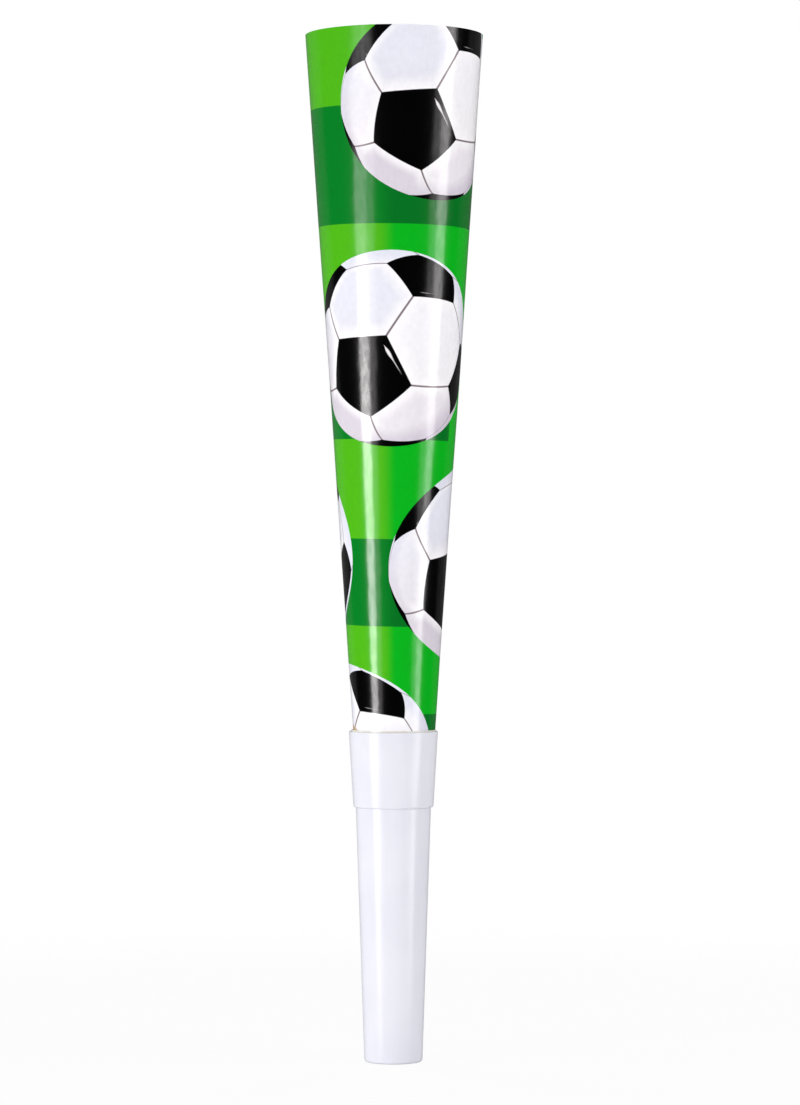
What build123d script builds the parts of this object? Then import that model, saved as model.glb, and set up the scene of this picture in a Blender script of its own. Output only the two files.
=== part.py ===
# A party horn: a rolled card cone glued in a plastic mouthpiece that has a beating reed inside.
# The horn stands on +Z, from the blow end at the origin to the bell at the top. Millimetres.
from build123d import *
from math import radians, tan
import os

# Reed unit: a trough and a film reed, held in a plug by a wedge.
trough_radius = 3.35  # round back of the trough
trough_wall = 1.15  # from its round back to its channel
trough_face = 0.5  # how far its flat face lies past the horn's axis
nose_wall = 1.85  # closed lower end of the trough
nose_margin = 0.85  # from the trough's lower end up to the reed's tip
reed_length = 24.0  # free length that beats
reed_thickness = 0.2
reed_lap = 0.56  # how far the reed laps each lip of the channel
reed_opening = 3.0  # degrees that the reed stands off the trough at rest
reed_clearance = 0.05  # between the beating reed and what it must not rub on
plug_length = 10.0
plug_wall = 2.48  # ring of the plug at its lower end
slip_fit = 0.05  # trough and wedge in the hole of the plug
plug_fit = 0.02  # plug in its tapered seat

# Mouthpiece, inside.
air_gap = 1.35  # beside the trough, in the blow bore
blow_bore_length = 10.0  # parallel mouth of the bore
nose_gap = 3.0  # from the end of that mouth to the trough
plug_step = 0.6  # ledge that the plug stands on
bore_draft = 2.0  # degrees of taper from the plug's ledge up to the cone's ledge
plug_headroom = 4.5  # from the plug's top to the cone's ledge
ledge_margin = 0.21  # ledge left inside the lapped card

# Mouthpiece, outside.
tip_wall = 1.1
collar_length = 15.2
collar_wall = 0.47  # at the foot of the socket
rim_wall = 0.45  # at the mouth of the socket
collar_step = 0.5  # collar over stem
ledge_floor = 1.7  # from the foot of the collar up to the cone's ledge
tip_round = 0.5
collar_round = 0.42
rim_round = 0.18
round_limit = 0.84  # most of a wall or step that a round may take

# Card cone: board with a printed sheet on it, rolled once round and lapped.
bell_radius = 17.92
cone_length = 152.5
board_thickness = 0.3
print_thickness = 0.08
seam_glue_thickness = 0.06
lap_angle = 35.0  # degrees that the ends of the blank overlap
lap_edge_bearing = 160.0  # degrees from +X to the free edge of the lap
glue_margin = 2.0  # degrees of lap that the seam glue leaves dry at each edge
socket_gap = 0.1  # glue room round the cone in the collar
glue_set_back = 1.0  # from the cone's ledge up to the socket glue
bead_height = 0.3  # glue that stands above the collar's rim
film = 0.01  # between glued layers
cut_past = 1.0  # how far a cutting shape runs past what it cuts

# Heights along the horn.
nose_z = blow_bore_length + nose_gap
hinge_z = nose_z + nose_margin + reed_length
plug_z = hinge_z + reed_thickness / 2 + reed_clearance
plug_top_z = plug_z + plug_length
ledge_z = plug_top_z + plug_headroom
stem_top_z = ledge_z - ledge_floor
rim_z = stem_top_z + collar_length
bell_z = ledge_z + cone_length

# Radii, from the reed unit outwards.
channel_radius = trough_radius - trough_wall
plug_hole_radius = trough_radius + slip_fit
plug_seat_radius = plug_hole_radius + plug_wall + plug_fit
chamber_radius = plug_seat_radius - plug_step
blow_bore_radius = trough_radius + air_gap
throat_radius = plug_seat_radius + (ledge_z - plug_z) * tan(radians(bore_draft))
card_thickness = board_thickness + print_thickness
lap_thickness = 2 * card_thickness + seam_glue_thickness
foot_radius = throat_radius + ledge_margin + lap_thickness
cone_taper = (bell_radius - foot_radius) / cone_length
tip_radius = blow_bore_radius + tip_wall


def cone_radius(z):
    # Outside of the rolled card on its full-radius side.
    return foot_radius + cone_taper * (z - ledge_z)


def socket_radius(z):
    return cone_radius(z) + socket_gap


collar_radius = socket_radius(stem_top_z) + collar_wall + cone_taper * ledge_floor
stem_top_radius = collar_radius - collar_step
rim_radius = socket_radius(rim_z) + rim_wall


def turned(points, rounds=(), arc=360.0):
    # A solid turned about Z from (radius, height) points, with rounded corners where rounds names them.
    profile = make_face(Polyline([(r, 0, z) for r, z in points], close=True))
    for (r, z), size in rounds:
        corner = profile.vertices().sort_by_distance((r, 0, z))[0]
        profile = fillet(corner, size)
    return revolve(profile, Axis.Z, arc)


def frustum(radius_at, low_z, high_z, arc=360.0):
    return turned([(0, low_z), (radius_at(low_z), low_z), (radius_at(high_z), high_z), (0, high_z)], arc=arc)


def block(x_range, y_range, z_range):
    size = [high - low for low, high in (x_range, y_range, z_range)]
    corner = [low for low, high in (x_range, y_range, z_range)]
    return Pos(*corner) * Box(*size, align=(Align.MIN, Align.MIN, Align.MIN))


def post(radius, low_z, high_z):
    return Pos(0, 0, low_z) * Cylinder(radius, high_z - low_z, align=(Align.CENTER, Align.CENTER, Align.MIN))


def make_mouthpiece():
    outline = [
        (blow_bore_radius, 0),
        (tip_radius, 0),
        (stem_top_radius, stem_top_z),
        (collar_radius, stem_top_z),
        (rim_radius, rim_z),
        (socket_radius(rim_z), rim_z),
        (socket_radius(ledge_z), ledge_z),
        (throat_radius, ledge_z),
        (plug_seat_radius, plug_z),
        (chamber_radius, plug_z),
        (blow_bore_radius, blow_bore_length),
    ]
    rounds = [
        ((tip_radius, 0), min(tip_round, round_limit * tip_wall)),
        ((collar_radius, stem_top_z), min(collar_round, round_limit * collar_step)),
        ((rim_radius, rim_z), min(rim_round, round_limit * rim_wall)),
    ]
    return turned(outline, rounds)


def make_reed_plug():
    draft = tan(radians(bore_draft))
    foot = plug_seat_radius - plug_fit
    return turned(
        [
            (plug_hole_radius, plug_z),
            (foot, plug_z),
            (foot + plug_length * draft, plug_top_z),
            (plug_hole_radius, plug_top_z),
        ]
    )


def make_reed_trough():
    # A half-round bar with its flat face towards +X and a channel open at its top end.
    face_side = block(
        (trough_face, trough_radius + slip_fit), (-trough_radius, trough_radius), (nose_z, plug_top_z)
    )
    channel = post(channel_radius, nose_z + nose_wall, plug_top_z)
    return post(trough_radius, nose_z, plug_top_z) - face_side - channel


channel_half_width = (channel_radius**2 - trough_face**2) ** 0.5
reed_half_width = channel_half_width + reed_lap
hinge_x = trough_face + reed_clearance + reed_thickness / 2


def make_reed_root():
    # The clamped end of the film, flat on the trough.
    return block(
        (trough_face, trough_face + reed_thickness), (-reed_half_width, reed_half_width), (plug_z, plug_top_z)
    )


def make_reed_tongue():
    # The free end of the film, round at the hinge line, standing off the trough.
    half = reed_thickness / 2
    strip = block((-half, half), (-reed_half_width, reed_half_width), (-reed_length, 0))
    root = Rot(90, 0, 0) * Cylinder(half, 2 * reed_half_width)
    return Pos(hinge_x, 0, hinge_z) * Rot(0, -reed_opening, 0) * (strip + root)


def make_reed_wedge():
    # What fills the plug's hole over the film.
    face_x = trough_face + reed_thickness
    trough_side = block((-trough_radius, face_x), (-trough_radius, trough_radius), (plug_z, plug_top_z))
    return post(trough_radius, plug_z, plug_top_z) - trough_side


# The roll is a spiral of three arcs about two centres, so that the card is as thick everywhere.
roll_offset = (card_thickness + seam_glue_thickness) / 2
roll_bearing = lap_edge_bearing - lap_angle


def roll_sector(shape, start, offset_x):
    # Puts a turned sector at its start angle about one of the two centres of the roll.
    return Pos(offset_x, 0, 0) * Rot(0, 0, start) * shape


def card_shell(radius_change, outer_depth, inner_depth, arc):
    # A sector of conical shell, between two depths under the outside of the card.
    foot = foot_radius + radius_change
    bell = bell_radius + radius_change
    return turned(
        [
            (foot - inner_depth, ledge_z),
            (foot - outer_depth, ledge_z),
            (bell - outer_depth, bell_z),
            (bell - inner_depth, bell_z),
        ],
        arc=arc,
    )


def make_card_layer(outer_depth, inner_depth):
    first_half = roll_sector(card_shell(-roll_offset, outer_depth, inner_depth, 180), 0, -roll_offset)
    second_half = roll_sector(card_shell(0, outer_depth, inner_depth, 180), 180, 0)
    lap = roll_sector(card_shell(roll_offset, outer_depth, inner_depth, lap_angle), 0, -roll_offset)
    return Rot(0, 0, roll_bearing) * (first_half + second_half + lap)


def make_seam_glue():
    arc = lap_angle - 2 * glue_margin
    strip = card_shell(roll_offset, card_thickness + film, card_thickness + seam_glue_thickness - film, arc)
    return Rot(0, 0, roll_bearing) * roll_sector(strip, glue_margin, -roll_offset)


def make_socket_glue():
    # Fills the collar round the spiral of the card, with a bead above the rim.
    low_z = ledge_z + glue_set_back
    high_z = rim_z + bead_height
    filling = turned(
        [
            (0, low_z),
            (socket_radius(low_z) - film, low_z),
            (socket_radius(rim_z) - film, rim_z),
            (cone_radius(high_z) + socket_gap / 2, high_z),
            (0, high_z),
        ]
    )

    def card_room(radius_change, arc):
        return frustum(lambda z: cone_radius(z) + radius_change + film, ledge_z, high_z + cut_past, arc)

    first_half = roll_sector(card_room(-roll_offset, 180), 0, -roll_offset)
    second_half = roll_sector(card_room(0, 180), 180, 0)
    lap = roll_sector(card_room(roll_offset, lap_angle), 0, -roll_offset)
    return filling - Rot(0, 0, roll_bearing) * (first_half + second_half + lap)


nodes = {
    "mouthpiece": make_mouthpiece(),
    "reed_plug": make_reed_plug(),
    "reed_trough": make_reed_trough(),
    "reed_root": make_reed_root(),
    "reed_tongue": make_reed_tongue(),
    "reed_wedge": make_reed_wedge(),
    "cone_board": make_card_layer(print_thickness + film, card_thickness),
    "cone_print": make_card_layer(0, print_thickness),
    "seam_glue": make_seam_glue(),
    "socket_glue": make_socket_glue(),
}

os.makedirs("parts", exist_ok=True)
for name, solid in nodes.items():
    export_step(solid, f"parts/{name}.step")

print(f"length {bell_z:.2f}, blow bore radius {blow_bore_radius:.2f}, tip radius {tip_radius:.2f}")
print(f"stem top {stem_top_radius:.2f} at {stem_top_z:.2f}")
print(f"collar {collar_radius:.2f} to {rim_radius:.2f} at {rim_z:.2f}")
print(f"cone foot {foot_radius:.3f} at {ledge_z:.2f}, at rim {cone_radius(rim_z):.3f}, throat {throat_radius:.3f}")
print(f"reed hinge at x {hinge_x:.3f}, z {hinge_z:.3f}, half width {reed_half_width:.3f}")
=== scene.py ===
import math

import bmesh
import bpy
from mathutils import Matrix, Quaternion, Vector


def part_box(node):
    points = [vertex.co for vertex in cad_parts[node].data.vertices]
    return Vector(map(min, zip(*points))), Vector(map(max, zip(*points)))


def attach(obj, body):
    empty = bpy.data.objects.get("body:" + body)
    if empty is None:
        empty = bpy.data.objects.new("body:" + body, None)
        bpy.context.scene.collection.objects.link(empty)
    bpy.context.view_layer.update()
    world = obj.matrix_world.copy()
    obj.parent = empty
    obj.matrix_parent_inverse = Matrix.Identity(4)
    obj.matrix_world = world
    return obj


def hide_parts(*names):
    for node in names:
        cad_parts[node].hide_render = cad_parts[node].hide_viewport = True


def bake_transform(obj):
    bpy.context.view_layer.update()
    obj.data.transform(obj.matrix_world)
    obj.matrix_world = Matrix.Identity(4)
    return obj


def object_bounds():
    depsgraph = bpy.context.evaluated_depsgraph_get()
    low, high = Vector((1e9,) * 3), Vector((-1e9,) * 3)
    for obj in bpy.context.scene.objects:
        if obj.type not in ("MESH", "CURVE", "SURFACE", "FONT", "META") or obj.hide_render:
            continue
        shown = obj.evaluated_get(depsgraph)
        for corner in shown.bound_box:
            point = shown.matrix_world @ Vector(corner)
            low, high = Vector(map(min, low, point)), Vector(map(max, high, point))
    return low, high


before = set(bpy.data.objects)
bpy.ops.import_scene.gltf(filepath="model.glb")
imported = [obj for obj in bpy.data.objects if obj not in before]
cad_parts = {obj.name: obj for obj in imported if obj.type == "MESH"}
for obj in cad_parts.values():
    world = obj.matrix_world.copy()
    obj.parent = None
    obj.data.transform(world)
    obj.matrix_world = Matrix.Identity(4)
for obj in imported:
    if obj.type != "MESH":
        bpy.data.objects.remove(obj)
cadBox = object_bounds()
mm = 0.001


def tint(red, green, blue):
    # A colour as a picture editor shows it, 0 to 255, made linear by the usual screen curve.
    def linear(value):
        share = value / 255
        return share / 12.92 if share <= 0.04045 else ((share + 0.055) / 1.055) ** 2.4

    return (linear(red), linear(green), linear(blue), 1.0)


def feed(tree, socket, value):  # a link or a plain value
    if isinstance(value, bpy.types.NodeSocket):
        tree.links.new(value, socket)
    else:
        socket.default_value = value


def feedAll(tree, node, values):  # inputs by their names
    for name, value in values.items():
        feed(tree, node.inputs[name], value)


def calc(tree, operation, *values):
    node = tree.nodes.new("ShaderNodeMath")
    node.operation = operation
    for socket, value in zip(node.inputs, values):
        feed(tree, socket, value)
    return node.outputs[0]


def vector(tree, operation, first, second=None):
    node = tree.nodes.new("ShaderNodeVectorMath")
    node.operation = operation
    feed(tree, node.inputs[0], first)
    if second is not None:
        feed(tree, node.inputs["Scale" if operation == "SCALE" else 1], second)
    return node.outputs["Value" if operation in ("DOT_PRODUCT", "LENGTH", "DISTANCE") else "Vector"]


def split(tree, source):
    node = tree.nodes.new("ShaderNodeSeparateXYZ")
    feed(tree, node.inputs[0], source)
    return node.outputs[0], node.outputs[1], node.outputs[2]


def join(tree, x, y, z=0.0):
    node = tree.nodes.new("ShaderNodeCombineXYZ")
    for socket, value in zip(node.inputs, (x, y, z)):
        feed(tree, socket, value)
    return node.outputs[0]


def ease(tree, value, low, high, start=0.0, end=1.0):  # smooth step
    node = tree.nodes.new("ShaderNodeMapRange")
    node.interpolation_type = "SMOOTHSTEP"
    feedAll(tree, node, {"Value": value, "From Min": low, "From Max": high})
    feedAll(tree, node, {"To Min": start, "To Max": end})
    return node.outputs["Result"]


def blendColour(tree, share, first, second, mode="MIX"):
    node = tree.nodes.new("ShaderNodeMix")
    node.data_type = "RGBA"
    node.blend_type = mode
    feed(tree, node.inputs["Factor"], share)
    feed(tree, node.inputs[6], first)
    feed(tree, node.inputs[7], second)
    return node.outputs[2]


def blendPlace(tree, share, first, second):
    node = tree.nodes.new("ShaderNodeMix")
    node.data_type = "VECTOR"
    feed(tree, node.inputs["Factor"], share)
    feed(tree, node.inputs[4], first)
    feed(tree, node.inputs[5], second)
    return node.outputs[1]


def noise(tree, place, scale, detail=2.0, roughness=0.5):
    node = tree.nodes.new("ShaderNodeTexNoise")
    feedAll(tree, node, {"Vector": place, "Scale": scale, "Detail": detail, "Roughness": roughness})
    return node.outputs[0]


def makeGroup(name, inputs, outputs):
    tree = bpy.data.node_groups.new(name, "ShaderNodeTree")
    kinds = {"value": "NodeSocketFloat", "colour": "NodeSocketColor", "place": "NodeSocketVector"}
    for label, kind in inputs:
        tree.interface.new_socket(name=label, in_out="INPUT", socket_type=kinds[kind])
    for label, kind in outputs:
        tree.interface.new_socket(name=label, in_out="OUTPUT", socket_type=kinds[kind])
    return tree, tree.nodes.new("NodeGroupInput").outputs, tree.nodes.new("NodeGroupOutput").inputs


def useGroup(tree, group, **values):
    node = tree.nodes.new("ShaderNodeGroup")
    node.node_tree = group
    feedAll(tree, node, values)
    return node.outputs


def newMaterial(name):
    material = bpy.data.materials.new(name)
    material.use_nodes = True
    tree = material.node_tree
    return material, tree, tree.nodes["Principled BSDF"].inputs


def bumpNormal(tree, height, strength, distance):
    node = tree.nodes.new("ShaderNodeBump")
    node.inputs["Strength"].default_value = strength
    node.inputs["Distance"].default_value = distance
    tree.links.new(height, node.inputs["Height"])
    return node.outputs[0]


def objectPlace(tree):
    return tree.nodes.new("ShaderNodeTexCoord").outputs["Object"]


def surfaceMap(tree, name):
    node = tree.nodes.new("ShaderNodeUVMap")
    node.uv_map = name
    return node.outputs[0]


# Camera: level, far off, in front of the horn.
photoView = {
    "width": 800,
    "height": 1105,
    "focalPixels": 3900.0,
    "pixelAtHorn": 0.2 * mm,
    "axisColumn": 393.4,  # where the horn's axis stands in the frame
    "tipRow": 1061.0,  # where the blow end stands
    "sensor": 36.0,
    "farClip": 20.0,
}


def addCamera():
    data = bpy.data.cameras.new("photoCamera")
    data.sensor_fit = "VERTICAL"
    data.sensor_height = photoView["sensor"]
    data.lens = photoView["sensor"] * photoView["focalPixels"] / photoView["height"]
    data.clip_end = photoView["farClip"]
    camera = bpy.data.objects.new("photoCamera", data)
    bpy.context.scene.collection.objects.link(camera)
    scale = photoView["pixelAtHorn"]
    camera.location = (
        (photoView["width"] / 2 - photoView["axisColumn"]) * scale,
        -photoView["focalPixels"] * scale,
        (photoView["tipRow"] - photoView["height"] / 2) * scale,
    )
    camera.rotation_euler = (math.pi / 2, 0.0, 0.0)
    bpy.context.scene.camera = camera


addCamera()
print("camera set")


# The rolled card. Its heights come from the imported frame.
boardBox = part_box("cone_board")
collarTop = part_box("mouthpiece")[1].z
rolledCard = {
    "footRadius": 7.436 * mm,
    "bellRadius": 17.92 * mm,
    "footHeight": boardBox[0].z,
    "bellHeight": boardBox[1].z,
    "rollOffset": 0.22 * mm,  # between the two centres of the spiral
    "rollBearing": 125.0,  # degrees from +X to the start of the blank
    "lapAngle": 35.0,
    "boardDepth": (0.09 * mm, 0.38 * mm),  # of both faces, from the sheet's outside
    "printDepth": (0.0, 0.08 * mm),
    "glueDepth": (0.39 * mm, 0.43 * mm),
    "glueMargin": 2.0,  # degrees that the glue stays short of the lap's ends
    "columns": 288,
    "glueColumns": 26,
    "rows": 96,
    "sharpAngle": 40.0,
    "waveHeight": 0.11 * mm,  # how far the card is out of true
    "waveSize": 24.0 * mm,
    "waveStretch": (1.0, 1.0, 0.45),  # waves are longer along the cone than round it
    "waveDetail": 1.6,
    "waveGain": 4.0,  # the noise strays about a quarter from its middle
    "waveFrom": collarTop + 1.0 * mm,
    "waveFull": collarTop + 20.0 * mm,
    "seed": 3.7,
}
bakeStrips = {  # where each side lies on the bake map: start, height, and the step to its second strip
    "across": (0.002, 0.996, 0.0),
    "hidden": (0.001, 0.043, 0.0),
    "ends": (0.048, 0.004, 0.006),
    "rims": (0.061, 0.005, 0.007),
    "shown": (0.078, 0.92, 0.0),
}
coneHeight = rolledCard["bellHeight"] - rolledCard["footHeight"]
coneSpread = rolledCard["bellRadius"] - rolledCard["footRadius"]
coneSine = coneSpread / math.hypot(coneSpread, coneHeight)  # sine of the half angle
frontTurn = math.radians(rolledCard["rollBearing"] + 90.0 - 360.0)  # roll angle 0, from the front


def makeRollTree():
    tree = bpy.data.node_groups.new("rolledCard", "GeometryNodeTree")
    labels = (
        "Foot radius", "Bell radius", "Foot height", "Bell height", "Roll offset", "Roll bearing",
        "Start angle", "End angle", "Outer depth", "Inner depth", "Wave height", "Wave size",
        "Wave from", "Wave full", "Cone sine", "Front turn", "Inside first", "Seed",
    )
    for label in labels:
        tree.interface.new_socket(name=label, in_out="INPUT", socket_type="NodeSocketFloat")
    for label in ("Columns", "Rows"):
        tree.interface.new_socket(name=label, in_out="INPUT", socket_type="NodeSocketInt")
    tree.interface.new_socket(name="Finish", in_out="INPUT", socket_type="NodeSocketMaterial")
    tree.interface.new_socket(name="Card", in_out="OUTPUT", socket_type="NodeSocketGeometry")
    given = tree.nodes.new("NodeGroupInput").outputs
    link = tree.links.new

    block = tree.nodes.new("GeometryNodeMeshCube")  # x along the roll, y through the card, z up
    block.inputs["Size"].default_value = (1.0, 1.0, 1.0)
    block.inputs["Vertices Y"].default_value = 2
    link(given["Columns"], block.inputs["Vertices X"])
    link(given["Rows"], block.inputs["Vertices Z"])
    place = tree.nodes.new("GeometryNodeInputPosition").outputs[0]
    along, deep, rise = [calc(tree, "ADD", part, 0.5) for part in split(tree, place)]

    # Roll angle, and the centre and radius that it has in the two-centre spiral.
    sweep = calc(tree, "SUBTRACT", given["End angle"], given["Start angle"])
    turn = calc(tree, "MULTIPLY_ADD", along, sweep, given["Start angle"])
    firstHalf = calc(tree, "LESS_THAN", turn, math.pi)
    lapPart = calc(tree, "GREATER_THAN", turn, 2 * math.pi)
    moved = calc(tree, "ADD", firstHalf, lapPart)
    centre = calc(tree, "MULTIPLY", calc(tree, "MULTIPLY", moved, -1.0), given["Roll offset"])
    change = calc(tree, "MULTIPLY", calc(tree, "SUBTRACT", lapPart, firstHalf), given["Roll offset"])
    spread = calc(tree, "SUBTRACT", given["Bell radius"], given["Foot radius"])
    trueRadius = calc(tree, "MULTIPLY_ADD", rise, spread, given["Foot radius"])
    outerRadius = calc(tree, "ADD", trueRadius, change)
    tall = calc(tree, "SUBTRACT", given["Bell height"], given["Foot height"])
    height = calc(tree, "MULTIPLY_ADD", rise, tall, given["Foot height"])
    cosine = calc(tree, "COSINE", turn)
    sine = calc(tree, "SINE", turn)

    def spiralPoint(radius):
        x = calc(tree, "MULTIPLY_ADD", radius, cosine, centre)
        y = calc(tree, "MULTIPLY", radius, sine)
        node = tree.nodes.new("ShaderNodeVectorRotate")
        node.rotation_type = "Z_AXIS"
        link(join(tree, x, y, height), node.inputs["Vector"])
        link(given["Roll bearing"], node.inputs["Angle"])
        return node.outputs[0]

    # Slow waves, the same for every layer.
    spot = vector(tree, "MULTIPLY", spiralPoint(outerRadius), rolledCard["waveStretch"])
    spot = vector(tree, "ADD", spot, join(tree, given["Seed"], 0.0, 0.0))
    often = calc(tree, "DIVIDE", 1.0, given["Wave size"])
    wave = calc(tree, "SUBTRACT", noise(tree, spot, often, detail=rolledCard["waveDetail"]), 0.5)
    swing = calc(tree, "MULTIPLY", given["Wave height"], rolledCard["waveGain"])
    wave = calc(tree, "MULTIPLY", wave, swing)
    wave = calc(tree, "MULTIPLY", wave, ease(tree, height, given["Wave from"], given["Wave full"]))
    thick = calc(tree, "SUBTRACT", given["Inner depth"], given["Outer depth"])
    depth = calc(tree, "MULTIPLY_ADD", deep, thick, given["Outer depth"])
    radius = calc(tree, "ADD", calc(tree, "SUBTRACT", outerRadius, depth), wave)

    # Place on the flat blank, in mm from the cone's point, with the front straight up.
    slant = calc(tree, "DIVIDE", trueRadius, calc(tree, "MULTIPLY", given["Cone sine"], mm))
    fan = calc(tree, "MULTIPLY", calc(tree, "ADD", turn, given["Front turn"]), given["Cone sine"])
    blankX = calc(tree, "MULTIPLY", slant, calc(tree, "SINE", fan))
    blankY = calc(tree, "MULTIPLY", slant, calc(tree, "COSINE", fan))

    # Bake map: the side that shows fills it, the other side and the cut edges lie in strips below.
    facing = tree.nodes.new("GeometryNodeFieldOnDomain")
    facing.data_type = "FLOAT_VECTOR"
    facing.domain = "FACE"
    link(tree.nodes.new("GeometryNodeInputNormal").outputs[0], facing.inputs[0])
    normalX, normalY, normalZ = split(tree, facing.outputs[0])
    outerSide = calc(tree, "LESS_THAN", normalY, -0.5)
    innerSide = calc(tree, "GREATER_THAN", normalY, 0.5)
    swap = given["Inside first"]
    keep = calc(tree, "SUBTRACT", 1.0, swap)
    shown = calc(tree, "MULTIPLY_ADD", outerSide, keep, calc(tree, "MULTIPLY", innerSide, swap))
    hidden = calc(tree, "MULTIPLY_ADD", outerSide, swap, calc(tree, "MULTIPLY", innerSide, keep))
    endSide = calc(tree, "GREATER_THAN", calc(tree, "ABSOLUTE", normalX), 0.5)
    rimSide = calc(tree, "GREATER_THAN", calc(tree, "ABSOLUTE", normalZ), 0.5)

    def strip(name, value, normal):
        low, tall, step = bakeStrips[name]
        row = calc(tree, "MULTIPLY_ADD", calc(tree, "GREATER_THAN", normal, 0.0), step, low)
        return calc(tree, "MULTIPLY_ADD", value, tall, row)

    up = 0.0
    for side, name, value, normal in (
        (shown, "shown", rise, normalY),
        (hidden, "hidden", rise, normalY),
        (endSide, "ends", deep, normalX),
        (rimSide, "rims", deep, normalZ),
    ):
        up = calc(tree, "MULTIPLY_ADD", side, strip(name, value, normal), up)
    across = calc(tree, "MULTIPLY_ADD", calc(tree, "SUBTRACT", rise, along), endSide, along)
    bake = join(tree, strip("across", across, normalY), up)

    stage = block.outputs["Mesh"]
    for name, value in (("OFBake", bake), ("blankPlace", join(tree, blankX, blankY))):
        store = tree.nodes.new("GeometryNodeStoreNamedAttribute")
        store.data_type = "FLOAT2"
        store.domain = "CORNER"
        store.inputs["Name"].default_value = name
        link(stage, store.inputs["Geometry"])
        link(value, store.inputs["Value"])
        stage = store.outputs[0]
    setPlace = tree.nodes.new("GeometryNodeSetPosition")
    link(stage, setPlace.inputs["Geometry"])
    link(spiralPoint(radius), setPlace.inputs["Position"])
    realize = tree.nodes.new("GeometryNodeRealizeInstances")
    link(setPlace.outputs[0], realize.inputs[0])
    finish = tree.nodes.new("GeometryNodeSetMaterial")
    link(realize.outputs[0], finish.inputs["Geometry"])
    link(given["Finish"], finish.inputs["Material"])
    link(finish.outputs[0], tree.nodes.new("NodeGroupOutput").inputs[0])
    return tree


rollTree = makeRollTree()


def makeRoll(name, finish, depths, angles, columns, insideFirst):
    sizes = {
        "Foot radius": rolledCard["footRadius"],
        "Bell radius": rolledCard["bellRadius"],
        "Foot height": rolledCard["footHeight"],
        "Bell height": rolledCard["bellHeight"],
        "Roll offset": rolledCard["rollOffset"],
        "Roll bearing": math.radians(rolledCard["rollBearing"]),
        "Start angle": math.radians(angles[0]),
        "End angle": math.radians(angles[1]),
        "Outer depth": depths[0],
        "Inner depth": depths[1],
        "Wave height": rolledCard["waveHeight"],
        "Wave size": rolledCard["waveSize"],
        "Wave from": rolledCard["waveFrom"],
        "Wave full": rolledCard["waveFull"],
        "Cone sine": coneSine,
        "Front turn": frontTurn,
        "Inside first": float(insideFirst),
        "Seed": rolledCard["seed"],
        "Columns": columns,
        "Rows": rolledCard["rows"],
        "Finish": finish,
    }
    piece = bpy.data.objects.new(name, bpy.data.meshes.new(name))
    bpy.context.scene.collection.objects.link(piece)
    modifier = piece.modifiers.new("roll", "NODES")
    modifier.node_group = rollTree
    for item in rollTree.interface.items_tree:
        if item.in_out == "INPUT":
            modifier[item.identifier] = sizes[item.name]
    evaluated = piece.evaluated_get(bpy.context.evaluated_depsgraph_get())
    mesh = bpy.data.meshes.new_from_object(evaluated)
    piece.modifiers.clear()
    piece.data = mesh
    mesh.name = name
    mesh.shade_smooth()
    mesh.set_sharp_from_angle(angle=math.radians(rolledCard["sharpAngle"]))
    return piece


# Effects that several finishes share.
paperFibres = {
    "fineGrain": 4.3,  # fine fibres against coarse ones
    "fineShare": 0.4,
    "roughness": 0.6,
    "contrast": (0.3, 0.7),
}
mouldFlow = {
    "grain": 6.0,  # flow lines against the slow mottle
    "stretch": (1.0, 1.0, 0.12),  # they run up the moulding
    "contrast": (0.3, 0.7),
    "roughSwing": 0.12,
    "flowShare": 0.3,
}


def makePaperSkin():
    tree, given, out = makeGroup(
        "paperSkin", (("Place", "place"), ("Grain", "value")), (("Fibre", "value"), ("Height", "value"))
    )
    fineGrain = calc(tree, "MULTIPLY", given["Grain"], paperFibres["fineGrain"])
    coarse = noise(tree, given["Place"], given["Grain"], detail=3.0, roughness=paperFibres["roughness"])
    fine = noise(tree, given["Place"], fineGrain)
    height = calc(tree, "MULTIPLY", coarse, 1.0 - paperFibres["fineShare"])
    height = calc(tree, "MULTIPLY_ADD", fine, paperFibres["fineShare"], height)
    tree.links.new(height, out["Height"])
    tree.links.new(ease(tree, coarse, *paperFibres["contrast"]), out["Fibre"])
    return tree


def makeMouldSkin():
    tree, given, out = makeGroup(
        "mouldSkin",
        (
            ("Place", "place"),
            ("Tint", "colour"),
            ("Shade", "colour"),
            ("Grain", "value"),
            ("Gloss", "value"),
        ),
        (("Colour", "colour"), ("Roughness", "value"), ("Height", "value")),
    )
    slow = noise(tree, given["Place"], given["Grain"])
    drawn = vector(tree, "MULTIPLY", given["Place"], mouldFlow["stretch"])
    flowGrain = calc(tree, "MULTIPLY", given["Grain"], mouldFlow["grain"])
    flow = noise(tree, drawn, flowGrain, detail=3.0)
    mottle = ease(tree, slow, *mouldFlow["contrast"])
    tree.links.new(blendColour(tree, mottle, given["Tint"], given["Shade"]), out["Colour"])
    swing = calc(tree, "SUBTRACT", flow, 0.5)
    rough = calc(tree, "MULTIPLY_ADD", swing, mouldFlow["roughSwing"], given["Gloss"])
    tree.links.new(rough, out["Roughness"])
    height = calc(tree, "MULTIPLY", slow, 1.0 - mouldFlow["flowShare"])
    height = calc(tree, "MULTIPLY_ADD", flow, mouldFlow["flowShare"], height)
    tree.links.new(height, out["Height"])
    return tree


paperSkin = makePaperSkin()
mouldSkin = makeMouldSkin()


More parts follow.
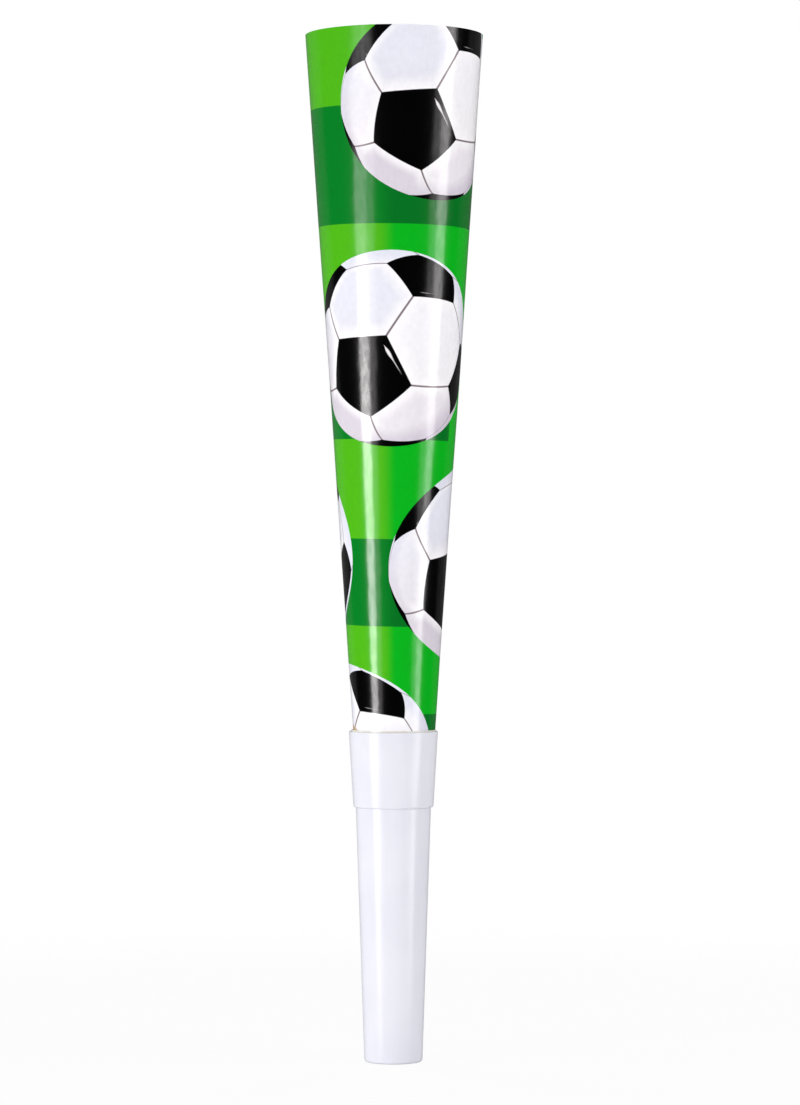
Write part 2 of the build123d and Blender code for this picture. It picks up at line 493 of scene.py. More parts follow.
# The print: mown stripes and footballs, drawn on the flat blank.
football = {
    "bulge": (42.6, 14.5, 14.0),  # degrees round the ball at its outline, by terms of rising power
    "bulgePowers": (1, 4, 18),
    "mainPatch": (-0.214, -0.22, 0.952),  # middle of a black patch: right, up, towards the eye
    "nextPatch": (0.31, 0.653, 0.691),  # the black patch next to it
    "patchShare": 0.985,  # size of a patch against the panels round it
    "patchEdge": 0.002,
    "seam": (0.008, 0.0028),  # where a seam starts, and where it is full
    "tieGap": 0.0005,  # panels as near as this count as the nearest
    "white": tint(254, 253, 255),
    "topWhite": tint(217, 221, 238),
    "lowWhite": tint(209, 202, 215),
    "shadeSpan": (-0.5, 0.6),  # from the low white to the top white
    "panelGrey": (0.62, 0.48, 0.8, 0.46, 0.22),  # panels round the main patch, from the top leftwards
    "outerGrey": 0.5,  # and those beyond them
    "seamWhite": (0.0, 0.085, 0.15, 1.0),  # share of the grey, from a seam inwards
    "litSide": (-0.12, 0.12, 0.0),  # panels grow greyer away from here
    "litFade": (0.78, 1.15, 0.0, 1.0),
    "outlineFade": (0.80, 0.96, 0.0, 0.72),
    "seamGrey": tint(128, 114, 120),
    "black": tint(2, 2, 3),
    "glint": tint(240, 238, 238),
    "glints": (  # start, end, width in ball radii, and strength
        ((-0.07, 0.03, 0.0), (0.11, -0.28, 0.0), 0.021, 1.0),
        ((0.26, 0.573, 0.0), (0.48, 0.548, 0.0), 0.008, 0.24),
        ((-0.738, 0.443, 0.0), (-0.722, 0.486, 0.0), 0.009, 0.2),
    ),
    "rim": (0.984, 0.990),  # thin white line outside the upper right patch
    "rimSide": (0.6, 0.8, 0.0),
    "rimFade": (0.4, 0.65),
}
glintShape = {  # spans along a glint, and the values at their ends
    "swell": (0.0, 0.2, 0.1, 1.0),
    "taper": (0.25, 0.55, 1.0, 0.35),
    "edge": (1.0, 0.35),  # across it, in half widths
    "dim": (0.3, 0.6, 1.0, 0.6),
    "tail": (0.6, 1.0, 1.0, 0.0),
}


def patchAxes():
    main = Vector(football["mainPatch"]).normalized()
    beside = Vector(football["nextPatch"])
    right = (beside - main * beside.dot(main)).normalized()
    up = main.cross(right)
    tilt = math.atan(2.0)  # between neighbouring patches
    ring = []
    for step in range(5):
        bearing = 2 * math.pi * step / 5
        outward = right * math.cos(bearing) + up * math.sin(bearing)
        ring.append(main * math.cos(tilt) + outward * math.sin(tilt))
    panels = []
    for step in range(5):
        pair = ring[step] + ring[(step + 1) % 5]
        panels.append((pair + main).normalized())
        panels.append((pair - ring[(step + 3) % 5]).normalized())
    return [main] + ring, panels


def makeGlintLine():
    # A pointed streak, thick near its start, with a thin tail that fades out.
    tree, given, out = makeGroup(
        "glintLine",
        (("Spot", "place"), ("Start", "place"), ("End", "place"), ("Width", "value")),
        (("Mask", "value"),),
    )
    run = vector(tree, "SUBTRACT", given["End"], given["Start"])
    fromStart = vector(tree, "SUBTRACT", given["Spot"], given["Start"])
    ahead = vector(tree, "DOT_PRODUCT", fromStart, run)
    share = calc(tree, "DIVIDE", ahead, vector(tree, "DOT_PRODUCT", run, run))
    share = calc(tree, "MINIMUM", calc(tree, "MAXIMUM", share, 0.0), 1.0)
    gap = vector(tree, "LENGTH", vector(tree, "SUBTRACT", fromStart, vector(tree, "SCALE", run, share)))
    swell, taper, dim, tail = [
        ease(tree, share, *glintShape[name]) for name in ("swell", "taper", "dim", "tail")
    ]
    thick = calc(tree, "MULTIPLY", given["Width"], calc(tree, "MULTIPLY", swell, taper))
    streak = ease(tree, calc(tree, "DIVIDE", gap, thick), *glintShape["edge"])
    strong = calc(tree, "MULTIPLY", dim, tail)
    tree.links.new(calc(tree, "MULTIPLY", streak, strong), out["Mask"])
    return tree


def makeFootball():
    tree, given, out = makeGroup(
        "footballPanels", (("Spot", "place"),), (("Colour", "colour"), ("Inside", "value"))
    )
    link = tree.links.new
    spotX, spotY = split(tree, given["Spot"])[:2]
    away = calc(tree, "MAXIMUM", vector(tree, "LENGTH", given["Spot"]), 0.001)  # never zero
    turn = 0.0
    for degrees, power in zip(football["bulge"], football["bulgePowers"]):
        term = calc(tree, "MULTIPLY", calc(tree, "POWER", away, float(power)), math.radians(degrees))
        turn = calc(tree, "ADD", turn, term)
    wide = calc(tree, "DIVIDE", calc(tree, "SINE", turn), away)
    ballX = calc(tree, "MULTIPLY", spotX, wide)
    ballY = calc(tree, "MULTIPLY", spotY, wide)
    onBall = join(tree, ballX, ballY, calc(tree, "COSINE", turn))

    patches, panels = patchAxes()

    def toward(axis):
        return calc(tree, "ABSOLUTE", vector(tree, "DOT_PRODUCT", onBall, tuple(axis)))

    patch = toward(patches[0])
    for axis in patches[1:]:
        patch = calc(tree, "MAXIMUM", patch, toward(axis))
    patch = calc(tree, "MULTIPLY", patch, football["patchShare"])
    towards = [toward(axis) for axis in panels]
    first = towards[0]
    second = 0.0
    for value in towards[1:]:
        second = calc(tree, "MAXIMUM", second, calc(tree, "MINIMUM", first, value))
        first = calc(tree, "MAXIMUM", first, value)

    # White panels: each with its own grey, bluish above and warmer below, whiter along the seams.
    upward = ease(tree, spotY, *football["shadeSpan"])
    shade = blendColour(tree, upward, football["lowWhite"], football["topWhite"])
    nearest = calc(tree, "SUBTRACT", first, football["tieGap"])
    grey = football["outerGrey"]
    for value, panelGrey in zip(towards[::2], football["panelGrey"]):
        onPanel = calc(tree, "GREATER_THAN", value, nearest)
        grey = calc(tree, "MULTIPLY_ADD", onPanel, panelGrey - football["outerGrey"], grey)
    seamGap = calc(tree, "SUBTRACT", first, calc(tree, "MAXIMUM", second, patch))
    grey = calc(tree, "MULTIPLY", grey, ease(tree, seamGap, *football["seamWhite"]))
    fromLit = vector(tree, "DISTANCE", given["Spot"], football["litSide"])
    grey = calc(tree, "MAXIMUM", grey, ease(tree, fromLit, *football["litFade"]))
    grey = calc(tree, "MAXIMUM", grey, ease(tree, away, *football["outlineFade"]))
    white = blendColour(tree, grey, football["white"], shade)
    seam = ease(tree, calc(tree, "SUBTRACT", first, second), *football["seam"])
    panel = blendColour(tree, seam, white, football["seamGrey"])

    # Black patches, with a few glints drawn on them.
    depth = calc(tree, "SUBTRACT", patch, first)
    black = football["black"]
    glintGroup = makeGlintLine()
    for start, end, width, strength in football["glints"]:
        mask = useGroup(tree, glintGroup, Spot=given["Spot"], Start=start, End=end, Width=width)[0]
        black = blendColour(tree, calc(tree, "MULTIPLY", mask, strength), black, football["glint"])
    side = vector(tree, "DOT_PRODUCT", given["Spot"], football["rimSide"])
    onSide = ease(tree, side, *football["rimFade"])
    rim = calc(tree, "MULTIPLY", onSide, ease(tree, away, *football["rim"]))
    black = blendColour(tree, rim, black, football["white"])
    onPatch = ease(tree, depth, -football["patchEdge"], football["patchEdge"])
    link(blendColour(tree, onPatch, panel, black), out["Colour"])
    link(calc(tree, "LESS_THAN", away, 1.0), out["Inside"])
    return tree


def makeBallSpot():
    # Keeps the place on the ball that a point of the blank lies in, in ball radii.
    tree, given, out = makeGroup(
        "ballSpot",
        [(name, "place") for name in ("Place", "Found", "Middle", "Right", "Up")],
        (("Found", "place"),),
    )
    offset = vector(tree, "SUBTRACT", given["Place"], given["Middle"])
    across = vector(tree, "DOT_PRODUCT", offset, given["Right"])
    spot = join(tree, across, vector(tree, "DOT_PRODUCT", offset, given["Up"]))
    within = calc(tree, "LESS_THAN", vector(tree, "LENGTH", spot), 1.0)
    tree.links.new(blendPlace(tree, within, given["Found"], spot), out["Found"])
    return tree


glossPrint = {
    "ballRadii": (21.43, 19.31),  # across and up the flat sheet, in mm
    "balls": (  # bearing from the front in degrees, height in mm, turn to the right in degrees
        (33.7, 190.24, 1.3),
        (-2.1, 141.84, 1.0),
        (109.4, 99.65, 1.2),
        (-164.3, 102.97, 82.0),
        (-86.7, 60.33, -0.8),
        (186.0, 187.0, 150.0),
        (201.0, 141.0, 215.0),
        (284.0, 61.0, 40.0),
    ),
    "stripeTops": (69.3, 86.65, 104.15, 123.5, 144.2, 165.85, 189.1),  # where a stripe ends, from below
    "stripeClimb": -0.2,  # rise per radian round the cone
    "oddTile": (61.5, 140.0),  # bearings between which one dark stripe is light
    # Each green is drawn in two tones by bearing: lighter and yellower on the left, darker past the
    # front. This is painted light and shade, standing in for light that falls from the left.
    "light": (tint(78, 185, 18), tint(0, 179, 26)),  # lime, and emerald past the front
    "paintedShadeTurn": (-14.0, 2.0, 170.0, 240.0),  # bearings where both greens turn, and turn back
    "dark": (tint(0, 127, 35), tint(0, 113, 32)),
    "roughness": 0.28,
    "sheen": 0.02,  # of the ink under the clear film
    "filmRoughness": 0.16,
    "filmIndex": 1.65,
    "ripple": (260.0, 0.05),  # how close the film's ripples lie, per metre, and how high they are in mm
    "fibres": (900.0, 0.011),  # how close, per metre, and how high in mm
    "mottle": 0.07,  # swing of the roughness over the fibres
    "thinInk": 0.06,  # and of the ink
    "inkShade": (0.25, 0.25, 0.25, 1.0),
    "hairs": (1400.0, 0.25),  # fine dull lines in the film: how close, per metre, and how dull
    "hairStretch": (1.0, 1.0, 0.3),
    "hairSpan": (0.35, 0.65),
    "tanPatch": (-57.0, 66.2, 3.2),  # bearing and height of a tan patch at the foot, and its rise per radian
    "tanPatchFade": (0.05, 0.2),  # how soft its ends are: in radians, and in mm
    "tanPatchFray": 2.0,  # in mm
    "board": tint(205, 175, 140),
}


def makeGlossPrint():
    material, tree, shader = newMaterial("glossPrint")
    blank = surfaceMap(tree, "blankPlace")
    blankX, blankY = split(tree, blank)[:2]
    place = objectPlace(tree)
    slant = vector(tree, "LENGTH", blank)
    bearing = calc(tree, "DIVIDE", calc(tree, "ARCTAN2", blankX, blankY), coneSine)
    footHeight = rolledCard["footHeight"] / mm
    slope = coneHeight / coneSpread
    lift = footHeight - rolledCard["footRadius"] / mm * slope
    height = calc(tree, "MULTIPLY_ADD", slant, coneSine * slope, lift)
    level = calc(tree, "MULTIPLY_ADD", bearing, -glossPrint["stripeClimb"], height)

    def between(value, low, high):
        above = calc(tree, "GREATER_THAN", value, low)
        return calc(tree, "MULTIPLY", above, calc(tree, "LESS_THAN", value, high))

    # Mown stripes, light and dark in turn.
    ramp = tree.nodes.new("ShaderNodeValToRGB")
    ramp.color_ramp.interpolation = "CONSTANT"
    share = calc(tree, "DIVIDE", calc(tree, "SUBTRACT", level, footHeight), coneHeight / mm)
    tree.links.new(share, ramp.inputs[0])
    black, white = (0.0, 0.0, 0.0, 1.0), (1.0, 1.0, 1.0, 1.0)
    ramp.color_ramp.elements.remove(ramp.color_ramp.elements[1])
    ramp.color_ramp.elements[0].position = 0.0
    ramp.color_ramp.elements[0].color = black
    for index, top in enumerate(glossPrint["stripeTops"]):
        element = ramp.color_ramp.elements.new((top - footHeight) / (coneHeight / mm))
        element.color = black if index % 2 else white
    inTile = between(bearing, *[math.radians(angle) for angle in glossPrint["oddTile"]])
    inRow = between(level, *glossPrint["stripeTops"][3:5])
    mown = calc(tree, "MAXIMUM", calc(tree, "MULTIPLY", inTile, inRow), ramp.outputs[0])
    # Painted light and shade: both greens turn darker past the front, and back again behind.
    turns = [math.radians(angle) for angle in glossPrint["paintedShadeTurn"]]
    paintedShade = calc(tree, "SUBTRACT", ease(tree, bearing, *turns[:2]), ease(tree, bearing, *turns[2:]))
    light = blendColour(tree, paintedShade, *glossPrint["light"])
    dark = blendColour(tree, paintedShade, *glossPrint["dark"])
    grass = blendColour(tree, mown, dark, light)

    spotGroup = makeBallSpot()
    found = (9.0, 9.0, 0.0)  # on no ball
    wide, tall = glossPrint["ballRadii"]
    for ballBearing, ballHeight, ballTurn in glossPrint["balls"]:
        radius = rolledCard["footRadius"] / mm + (ballHeight - footHeight) / slope
        fan = math.radians(ballBearing) * coneSine
        reach = radius / coneSine
        middle = (reach * math.sin(fan), reach * math.cos(fan), 0.0)
        turn = math.radians(ballTurn)
        right = (math.cos(turn) / wide, -math.sin(turn) / tall, 0.0)
        up = (math.sin(turn) / wide, math.cos(turn) / tall, 0.0)
        found = useGroup(tree, spotGroup, Place=blank, Found=found, Middle=middle, Right=right, Up=up)[0]
    ball = useGroup(tree, makeFootball(), Spot=found)
    ink = blendColour(tree, ball["Inside"], grass, ball["Colour"])

    # Paper under a clear film.
    fibreGrain, fibreHeight = glossPrint["fibres"]
    skin = useGroup(tree, paperSkin, Place=place, Grain=fibreGrain)
    swing = calc(tree, "SUBTRACT", skin["Fibre"], 0.5)
    mottle = calc(tree, "MULTIPLY_ADD", swing, glossPrint["mottle"], glossPrint["roughness"])
    tree.links.new(mottle, shader["Roughness"])
    shader["Specular IOR Level"].default_value = glossPrint["sheen"]
    hairGrain, hairDull = glossPrint["hairs"]
    drawn = vector(tree, "MULTIPLY", place, glossPrint["hairStretch"])
    hairs = noise(tree, drawn, hairGrain, detail=3.0)
    film = ease(tree, hairs, *glossPrint["hairSpan"], 1.0, 1.0 - hairDull)
    tree.links.new(film, shader["Coat Weight"])
    shader["Coat Roughness"].default_value = glossPrint["filmRoughness"]
    shader["Coat IOR"].default_value = glossPrint["filmIndex"]

    # A soft tan patch in the board's colour at the foot, and ink a little thinner over the fibres.
    tanStart, tanHeight, tanRise = glossPrint["tanPatch"]
    softEnd, softTop = glossPrint["tanPatchFade"]
    past = calc(tree, "SUBTRACT", math.radians(tanStart), bearing)
    edge = calc(tree, "MULTIPLY_ADD", past, tanRise, tanHeight)
    fray = calc(tree, "SUBTRACT", skin["Height"], 0.5)
    edge = calc(tree, "MULTIPLY_ADD", fray, glossPrint["tanPatchFray"], edge)
    under = ease(tree, calc(tree, "SUBTRACT", edge, height), 0.0, softTop)
    tanShare = calc(tree, "MULTIPLY", ease(tree, past, 0.0, softEnd), under)
    ink = blendColour(tree, tanShare, ink, glossPrint["board"])
    thin = calc(tree, "MULTIPLY", skin["Fibre"], glossPrint["thinInk"])
    ink = blendColour(tree, thin, ink, glossPrint["inkShade"], mode="MULTIPLY")
    tree.links.new(ink, shader["Base Color"])
    rippleGrain, rippleHeight = glossPrint["ripple"]
    relief = calc(tree, "MULTIPLY", noise(tree, place, rippleGrain, detail=1.0), rippleHeight)
    relief = calc(tree, "MULTIPLY_ADD", skin["Height"], fibreHeight, relief)
    grain = bumpNormal(tree, relief, 1.0, mm)
    tree.links.new(grain, shader["Normal"])
    tree.links.new(grain, shader["Coat Normal"])
    return material


rawBoard = {
    "tan": tint(206, 180, 142),
    "dark": tint(168, 138, 100),
    "pale": tint(226, 208, 178),
    "fibreGrain": 420.0,  # per metre
    "strands": (2600.0, 0.65),  # how close, per metre, and how rough
    "strandStretch": (1.0, 1.0, 0.18),
    "paleShare": (0.2, 0.9, 0.0, 0.6),  # over the fibres
    "darkShare": (0.56, 0.72, 0.0, 0.7),  # over the strands
    "roughness": (0.3, 0.7, 0.78, 0.92),
    "bump": (0.35, 0.1 * mm),
}


def makeRawBoard():
    material, tree, shader = newMaterial("rawBoard")
    place = objectPlace(tree)
    skin = useGroup(tree, paperSkin, Place=place, Grain=rawBoard["fibreGrain"])
    drawn = vector(tree, "MULTIPLY", place, rawBoard["strandStretch"])
    strandGrain, strandRoughness = rawBoard["strands"]
    strands = noise(tree, drawn, strandGrain, detail=4.0, roughness=strandRoughness)
    pale = ease(tree, skin["Fibre"], *rawBoard["paleShare"])
    dark = ease(tree, strands, *rawBoard["darkShare"])
    colour = blendColour(tree, pale, rawBoard["tan"], rawBoard["pale"])
    colour = blendColour(tree, dark, colour, rawBoard["dark"])
    tree.links.new(colour, shader["Base Color"])
    tree.links.new(ease(tree, strands, *rawBoard["roughness"]), shader["Roughness"])
    height = calc(tree, "MULTIPLY_ADD", strands, 0.5, calc(tree, "MULTIPLY", skin["Height"], 0.5))
    tree.links.new(bumpNormal(tree, height, *rawBoard["bump"]), shader["Normal"])
    return material


moulded = {
    "bump": (0.06, 0.1 * mm),
    "glowRadius": (1.0, 0.9, 0.85),  # how far each colour spreads inside
    "glowScale": 0.8 * mm,
    "kinds": {  # two tints, grain per metre, roughness, share of light that spreads inside
        "mouthpiecePlastic": (tint(230, 231, 239), tint(224, 226, 235), 70.0, 0.22, 0.15),
        "reedPlastic": (tint(222, 222, 214), tint(208, 208, 200), 150.0, 0.34, 0.1),
        "reedFilm": (tint(196, 206, 214), tint(182, 194, 204), 240.0, 0.2, 0.0),
        "driedGlue": (tint(236, 234, 228), tint(224, 220, 208), 900.0, 0.3, 0.1),
    },
}


def makeMoulded(name, colour, shade, grain, gloss, glow):
    material, tree, shader = newMaterial(name)
    looks = {"Tint": colour, "Shade": shade, "Grain": grain, "Gloss": gloss}
    skin = useGroup(tree, mouldSkin, Place=objectPlace(tree), **looks)
    tree.links.new(skin["Colour"], shader["Base Color"])
    tree.links.new(skin["Roughness"], shader["Roughness"])
    tree.links.new(bumpNormal(tree, skin["Height"], *moulded["bump"]), shader["Normal"])
    shader["Subsurface Weight"].default_value = glow
    shader["Subsurface Radius"].default_value = moulded["glowRadius"]
    shader["Subsurface Scale"].default_value = moulded["glowScale"]
    return material


finishes = {"glossPrint": makeGlossPrint(), "rawBoard": makeRawBoard()}
for name, values in moulded["kinds"].items():
    finishes[name] = makeMoulded(name, *values)
print("finishes made")


# Printed sheet, board and the glue of the lap, each rolled by the same tree.
fullTurn = 360.0 + rolledCard["lapAngle"]
wholeCard = (0.0, fullTurn)
sheet = makeRoll(
    "printedSheet",
    finishes["glossPrint"],
    depths=rolledCard["printDepth"],
    angles=wholeCard,
    columns=rolledCard["columns"],
    insideFirst=False,
)
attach(sheet, "horn")
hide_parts("cone_print")
board = makeRoll(
    "cardBoard",
    finishes["rawBoard"],
    depths=rolledCard["boardDepth"],
    angles=wholeCard,
    columns=rolledCard["columns"],
    insideFirst=True,
)
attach(board, "horn")
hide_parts("cone_board")
lapGlue = makeRoll(
    "lapGlue",
    finishes["driedGlue"],
    depths=rolledCard["glueDepth"],
    angles=(360.0 + rolledCard["glueMargin"], fullTurn - rolledCard["glueMargin"]),
    columns=rolledCard["glueColumns"],
    insideFirst=False,
)
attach(lapGlue, "horn")
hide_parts("seam_glue")
print("card rolled:", len(sheet.data.polygons), "faces in the sheet")


# Mouthpiece, turned from one closed outline.
mouthpiece = {
    "boreRadius": 4.7 * mm,
    "boreLength": 10.0 * mm,
    "tipRadius": 5.8 * mm,
    "stemTopRadius": 7.51 * mm,
    "stemTop": 50.8 * mm,
    "collarRadius": 8.01 * mm,
    "rimRadius": 8.914 * mm,
    "rimInner": 8.464 * mm,
    "ledgeInner": 7.536 * mm,
    "throatRadius": 6.406 * mm,
    "plugHeight": 38.0 * mm,
    "plugSeat": 5.9 * mm,
    "chamberRadius": 5.3 * mm,
    "tipRound": 0.5 * mm,
    "boreRound": 0.25 * mm,
    "collarRound": 0.42 * mm,
    "rimRound": 0.18 * mm,
    "segments": 160,
    "roundSteps": 7,
    "sharpAngle": 32.0,
}


def roundedOutline(corners, steps):
    # Closed outline of (radius, height, round) corners, each rounded by its own size.
    points = []
    for index, (radius, height, size) in enumerate(corners):
        here = Vector((radius, height))
        if size == 0.0:
            points.append(here)
            continue
        back = (Vector(corners[index - 1][:2]) - here).normalized()
        ahead = (Vector(corners[(index + 1) % len(corners)][:2]) - here).normalized()
        half = back.angle(ahead) / 2
        middle = here + (back + ahead).normalized() * (size / math.sin(half))
        start = here + back * (size / math.tan(half)) - middle
        end = here + ahead * (size / math.tan(half)) - middle
        for step in range(steps + 1):
            share = step / steps
            spoke = (start * (1.0 - share) + end * share).normalized()
            points.append(middle + spoke * size)
    return points


def turnedMesh(name, outline, segments):
    mesh = bpy.data.meshes.new(name)
    shape = bmesh.new()
    layer = shape.loops.layers.uv.new("OFBake")
    rings = []
    for point in outline:
        ring = []
        for step in range(segments):
            angle = 2 * math.pi * step / segments
            ring.append(shape.verts.new((point.x * math.cos(angle), point.x * math.sin(angle), point.y)))
        rings.append(ring)
    lengths = [0.0]
    for index, point in enumerate(outline):
        lengths.append(lengths[-1] + (outline[(index + 1) % len(outline)] - point).length)
    for index, ring in enumerate(rings):
        above = rings[(index + 1) % len(rings)]
        low, high = lengths[index] / lengths[-1], lengths[index + 1] / lengths[-1]
        for step in range(segments):
            after = (step + 1) % segments
            face = shape.faces.new((ring[step], ring[after], above[after], above[step]))
            face.smooth = True
            corners = ((step, low), (step + 1, low), (step + 1, high), (step, high))
            for loop, (column, row) in zip(face.loops, corners):
                loop[layer].uv = (column / segments, row)
    bmesh.ops.recalc_face_normals(shape, faces=shape.faces)
    shape.to_mesh(mesh)
    shape.free()
    mesh.set_sharp_from_angle(angle=math.radians(mouthpiece["sharpAngle"]))
    piece = bpy.data.objects.new(name, mesh)
    bpy.context.scene.collection.objects.link(piece)
    return piece


def makeMouthpiece():
    size = mouthpiece
    ledge = rolledCard["footHeight"]
    corners = [
        (size["boreRadius"], 0.0, size["boreRound"]),
        (size["tipRadius"], 0.0, size["tipRound"]),
        (size["stemTopRadius"], size["stemTop"], 0.0),
        (size["collarRadius"], size["stemTop"], size["collarRound"]),
        (size["rimRadius"], collarTop, size["rimRound"]),
        (size["rimInner"], collarTop, size["rimRound"] / 2),
        (size["ledgeInner"], ledge, 0.0),
        (size["throatRadius"], ledge, 0.0),
        (size["plugSeat"], size["plugHeight"], 0.0),
        (size["chamberRadius"], size["plugHeight"], 0.0),
        (size["boreRadius"], size["boreLength"], 0.0),
    ]
    piece = turnedMesh("mouthpieceShell", roundedOutline(corners, size["roundSteps"]), size["segments"])
    piece.data.materials.append(finishes["mouthpiecePlastic"])
    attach(piece, "horn")
    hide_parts("mouthpiece")
    return piece


makeMouthpiece()
print("mouthpiece turned")


# Reed: one film strip, clamped in the plug and beating below it.
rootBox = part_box("reed_root")
hinge = Vector((0.65 * mm, 0.0, 37.85 * mm))
reedStrip = {
    "thickness": 0.2 * mm,
    "freeLength": 24.0 * mm,
    "opening": math.radians(3.0),
    "tipCorner": 0.7 * mm,
    "rootBend": 0.6 * mm,  # above the hinge
    "rows": 64,
    "columns": 10,
    "sharpAngle": 35.0,
}


def makeReedStrip():
    size = reedStrip
    halfWidth = rootBox[1].y
    rootX = (rootBox[0].x + rootBox[1].x) / 2
    top = rootBox[1].z
    clampLength = top - hinge.z
    total = clampLength + size["freeLength"]
    shape = bmesh.new()
    grid = {}
    for row in range(size["rows"] + 1):
        run = total * row / size["rows"]
        free = run - clampLength
        if free <= 0.0:
            near = max(0.0, 1.0 + free / size["rootBend"])
            middle = Vector((rootX + (hinge.x - rootX) * near * near, 0.0, top - run))
            lean = 0.0
        else:
            lean = size["opening"]
            middle = hinge + Vector((math.sin(lean), 0.0, -math.cos(lean))) * free
        narrow = max(0.0, size["tipCorner"] - (total - run))
        width = halfWidth - size["tipCorner"] + math.sqrt(max(0.0, size["tipCorner"] ** 2 - narrow**2))
        across = Vector((math.cos(lean), 0.0, math.sin(lean))) * (size["thickness"] / 2)
        for side in (-1, 1):
            for column in range(size["columns"] + 1):
                y = width * (2.0 * column / size["columns"] - 1.0)
                grid[row, column, side] = shape.verts.new(middle + across * side + Vector((0.0, y, 0.0)))
    rows, columns = size["rows"], size["columns"]
    flat = ((0, 0), (0, 1), (1, 1), (1, 0))
    through = ((0, -1), (0, 1), (1, 1), (1, -1))
    for row in range(rows):
        for column in range(columns):
            for side in (-1, 1):
                shape.faces.new([grid[row + down, column + over, side] for down, over in flat])
    for row in range(rows):
        for column in (0, columns):
            shape.faces.new([grid[row + down, column, side] for down, side in through])
    for column in range(columns):
        for row in (0, rows):
            shape.faces.new([grid[row, column + over, side] for over, side in through])
    bmesh.ops.recalc_face_normals(shape, faces=shape.faces)
    mesh = bpy.data.meshes.new("reedStrip")
    shape.to_mesh(mesh)
    shape.free()
    mesh.shade_smooth()
    mesh.set_sharp_from_angle(angle=math.radians(size["sharpAngle"]))
    piece = bpy.data.objects.new("reedStrip", mesh)
    bpy.context.scene.collection.objects.link(piece)
    mesh.materials.append(finishes["reedFilm"])
    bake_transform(piece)
    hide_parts("reed_root", "reed_tongue")
    return piece


makeReedStrip()
for node, finish in (
    ("reed_plug", "reedPlastic"),
    ("reed_trough", "reedPlastic"),
    ("reed_wedge", "reedPlastic"),
    ("socket_glue", "driedGlue"),
):
    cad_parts[node].data.materials.clear()
    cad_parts[node].data.materials.append(finishes[finish])
print("reed unit finished")


# Studio: white table top, a column of lamps at the left, a leaning one at the right, fill from behind
# and all round, and a dark room in front.
studio = {
    "tableRadius": 0.30,
    "tableSegments": 96,
    "tableGap": 0.1 * mm,  # below the blow end
    "tableFade": (0.17, 0.297),  # distances between which it clears
    "tableWhite": (0.86, 0.86, 0.87, 1.0),
    "tableGlow": 0.92,  # share of plain white that the camera sees
    "ambient": (0.71, 0.475),  # soft light all round, from left to right
    "room": 0.001,  # what gloss sees in front
    "backdrop": (0.12, 0.08),  # and behind, from left to right
    "backdropEdge": (0.38, 0.48),
    "backdropSpan": (-0.3, 0.3),
    # Name, bearing from the camera's side, distance, middle height, width, height, lean, radiance.
    "lamps": (
        ("leftFoot", -52.0, 0.38, -0.06, 0.115, 0.07, 0.0, 3.4),
        ("leftLow", -52.0, 0.38, 0.03, 0.115, 0.11, 0.0, 9.0),
        ("leftMiddle", -52.0, 0.38, 0.105, 0.115, 0.04, 0.0, 12.5),
        ("leftHigh", -51.0, 0.38, 0.1575, 0.115, 0.065, 0.0, 2.6),
        ("leftTop", -48.0, 0.38, 0.2425, 0.10, 0.105, 0.0, 1.0),
        ("leftFeather", -37.0, 0.40, 0.135, 0.09, 0.32, 0.0, 1.3),
        ("rightBox", 71.0, 0.38, 0.105, 0.10, 0.36, 23.0, 4.0),
        ("rightFeather", 57.0, 0.38, 0.105, 0.07, 0.36, 23.0, 1.1),
        ("bellFill", 58.0, 0.20, 0.23, 0.12, 0.12, 0.0, 1.8),
        ("backLeftBox", -140.0, 0.45, 0.20, 0.12, 0.40, 0.0, 2.4),
        ("backRightBox", 150.0, 0.45, 0.20, 0.12, 0.40, 0.0, 2.4),
    ),
    "lampTint": (1.0, 0.97, 0.975),
    "plainLamps": ("bellFill", "backLeftBox", "backRightBox"),  # lamps that gloss doesn't show
}


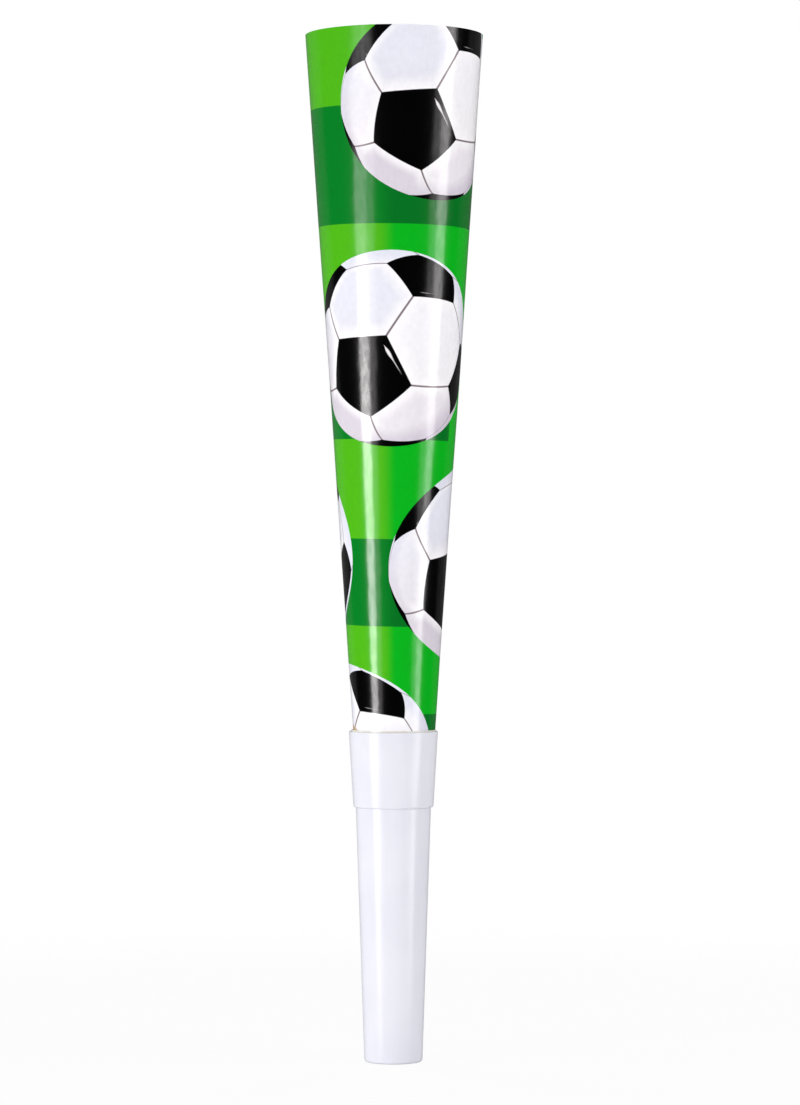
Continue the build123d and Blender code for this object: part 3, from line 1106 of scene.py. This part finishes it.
def addTable():
    material, tree = newMaterial("tableTop")[:2]
    tree.nodes.remove(tree.nodes["Principled BSDF"])
    matt = tree.nodes.new("ShaderNodeBsdfDiffuse")
    matt.inputs["Color"].default_value = studio["tableWhite"]
    glow = tree.nodes.new("ShaderNodeEmission")
    clear = tree.nodes.new("ShaderNodeBsdfTransparent")
    path = tree.nodes.new("ShaderNodeLightPath").outputs
    seen = calc(tree, "MAXIMUM", path["Is Camera Ray"], path["Is Transmission Ray"])
    lit = tree.nodes.new("ShaderNodeMixShader")
    feed(tree, lit.inputs[0], calc(tree, "MULTIPLY", seen, studio["tableGlow"]))
    tree.links.new(matt.outputs[0], lit.inputs[1])
    tree.links.new(glow.outputs[0], lit.inputs[2])
    away = vector(tree, "LENGTH", vector(tree, "MULTIPLY", objectPlace(tree), (1.0, 1.0, 0.0)))
    outside = ease(tree, away, *studio["tableFade"])
    below = tree.nodes.new("ShaderNodeNewGeometry").outputs["Backfacing"]
    fade = tree.nodes.new("ShaderNodeMixShader")
    feed(tree, fade.inputs[0], calc(tree, "MAXIMUM", outside, below))
    tree.links.new(lit.outputs[0], fade.inputs[1])
    tree.links.new(clear.outputs[0], fade.inputs[2])
    tree.links.new(fade.outputs[0], tree.nodes["Material Output"].inputs[0])
    mesh = bpy.data.meshes.new("tableTop")
    shape = bmesh.new()
    segments, radius = studio["tableSegments"], studio["tableRadius"]
    bmesh.ops.create_circle(shape, cap_ends=True, segments=segments, radius=radius)
    bmesh.ops.translate(shape, verts=shape.verts, vec=(0.0, 0.0, cadBox[0].z - studio["tableGap"]))
    shape.to_mesh(mesh)
    shape.free()
    mesh.materials.append(material)
    table = bpy.data.objects.new("tableTop", mesh)
    bpy.context.scene.collection.objects.link(table)
    table.visible_glossy = False  # a gloss sees the dim room instead
    table.visible_shadow = False  # the lamps reach below it


def addLamps():
    for name, bearing, distance, height, wide, tall, lean, radiance in studio["lamps"]:
        data = bpy.data.lights.new(name, "AREA")
        data.shape = "RECTANGLE"
        data.size = wide
        data.size_y = tall
        data.energy = radiance * math.pi * wide * tall
        data.color = studio["lampTint"]
        lamp = bpy.data.objects.new(name, data)
        bpy.context.scene.collection.objects.link(lamp)
        turn = math.radians(bearing)
        lamp.location = (math.sin(turn) * distance, -math.cos(turn) * distance, height)
        aim = Vector((0.0, 0.0, height)) - lamp.location
        roll = Quaternion((0.0, 0.0, 1.0), math.radians(-lean))
        lamp.rotation_euler = (aim.to_track_quat("-Z", "Y") @ roll).to_euler()
        lamp.visible_camera = False
        lamp.visible_glossy = name not in studio["plainLamps"]


def addWorld():
    world = bpy.data.worlds.new("studio")
    bpy.context.scene.world = world
    world.use_nodes = True
    tree = world.node_tree
    background = tree.nodes["Background"].inputs
    path = tree.nodes.new("ShaderNodeLightPath").outputs
    mirrored = calc(tree, "MAXIMUM", path["Is Glossy Ray"], path["Is Transmission Ray"])
    direction = tree.nodes.new("ShaderNodeTexCoord").outputs["Generated"]
    side, behind = split(tree, direction)[:2]
    cloth = ease(tree, side, *studio["backdropSpan"], *studio["backdrop"])
    backdrop = ease(tree, behind, *studio["backdropEdge"], studio["room"], cloth)
    white = (1.0, 1.0, 1.0, 1.0)
    black = (0.0, 0.0, 0.0, 1.0)
    around = blendColour(tree, ease(tree, side, -1.0, 1.0, *studio["ambient"]), black, white)
    shade = blendColour(tree, backdrop, black, white)
    shade = blendColour(tree, mirrored, around, shade)
    tree.links.new(blendColour(tree, path["Is Camera Ray"], shade, white), background["Color"])


addTable()
addLamps()
addWorld()
bpy.context.scene.view_settings.view_transform = "Standard"
print("studio set")

bpy.context.view_layer.update()
